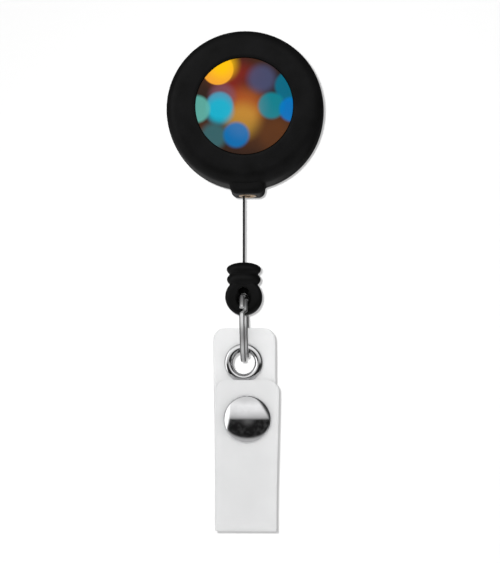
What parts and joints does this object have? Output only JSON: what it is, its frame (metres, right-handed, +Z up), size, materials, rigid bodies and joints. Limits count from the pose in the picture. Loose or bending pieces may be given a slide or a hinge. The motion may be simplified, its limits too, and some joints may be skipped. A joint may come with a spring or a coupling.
{
  "type": "retractable badge reel",
  "caption": "Round retractable badge reel with a belt clip, a printed label, a cord with a ribbed end, a split ring and a folded vinyl strap closed by a press stud.",
  "frame": {"origin": "on the belt clip's flat base leaf, on the face towards the belt, 9 mm above the rivet's centre", "axes": "+Z up as the reel hangs, -Y out of the printed face, +X to the right seen from the front"},
  "size_m": [0.032, 0.0172, 0.1007],
  "materials": {
    "casing_plastic": "satin, fine moulded grain",
    "label_print": "printed, satin laminate",
    "bush_metal": "plain, slightly worn",
    "spool_plastic": "natural, unpainted",
    "washer_nylon": "plain",
    "spring_steel": "oiled",
    "cord_nylon": "fine braid",
    "end_plastic": "satin",
    "ring_chrome": "polished plate",
    "stud_chrome": "polished plate",
    "strap_vinyl": "frosted, translucent",
    "clip_steel": "nickel plated, fine rolled lines"
  },
  "bodies": {
    "casing": {"front_shell": "casing_plastic", "rear_shell": "casing_plastic", "label_disc": "label_print", "exit_bush": "bush_metal", "hub_axle": "spring_steel", "mainspring": "spring_steel", "spool_washer": "washer_nylon", "cord_lead": "cord_nylon", "clip_base": "clip_steel", "clip_rivet": "clip_steel", "rivet_washer": "clip_steel"},
    "spool": {"spool": "spool_plastic", "spring_cover": "spool_plastic", "cord_winding": "cord_nylon"},
    "cord": {"cord_run": "cord_nylon", "cord_knot": "cord_nylon"},
    "cord_end": {"cord_end": "end_plastic"},
    "ring": {"split_ring": "ring_chrome"},
    "strap": {"strap_back": "strap_vinyl", "eyelet": "stud_chrome", "eyelet_washer": "stud_chrome", "snap_stud": "stud_chrome", "snap_post": "stud_chrome"},
    "flap": {"strap_flap": "strap_vinyl", "snap_cap": "stud_chrome", "snap_socket": "stud_chrome"},
    "clip_tongue": {"clip_tongue": "clip_steel"}
  },
  "joints": [
    {"name": "cord_pull", "type": "slide", "parent": "casing", "child": "cord", "axis": [0, 0, -1], "range_m": [-0.013, 0.75], "stiffness_N_per_m": 1.2, "springref_m": -0.03, "deforming": ["cord_run"]},
    {"name": "spool_turn", "type": "hinge", "parent": "casing", "child": "spool", "pos_m": [0, -0.0055, -0.009], "axis": [0, -1, 0], "range_deg": [-75, 4150], "deforming": ["mainspring"]},
    {"name": "end_swivel", "type": "hinge", "parent": "cord", "child": "cord_end", "pos_m": [-0.0003, -0.0055, -0.0428], "axis": [0, 0, 1], "continuous": true},
    {"name": "ring_swing", "type": "hinge", "parent": "cord_end", "child": "ring", "pos_m": [-0.0003, -0.0055, -0.04745], "axis": [0, 1, 0], "range_deg": [-60, 60]},
    {"name": "strap_swing", "type": "hinge", "parent": "ring", "child": "strap", "pos_m": [-0.0003, -0.0055, -0.0603], "axis": [0, 1, 0], "range_deg": [-60, 60]},
    {"name": "flap_open", "type": "hinge", "parent": "strap", "child": "flap", "pos_m": [0, -0.00677, -0.09375], "axis": [1, 0, 0], "range_deg": [0, 150]},
    {"name": "clip_flex", "type": "hinge", "parent": "casing", "child": "clip_tongue", "pos_m": [0, 0.0022, 0.0053], "axis": [1, 0, 0], "range_deg": [0, 12], "stiffness_Nm_per_rad": 0.05}
  ],
  "couplings": [
    {"joint": "spool_turn", "follows": "cord_pull", "rad_per_m": 96.15}
  ]
}
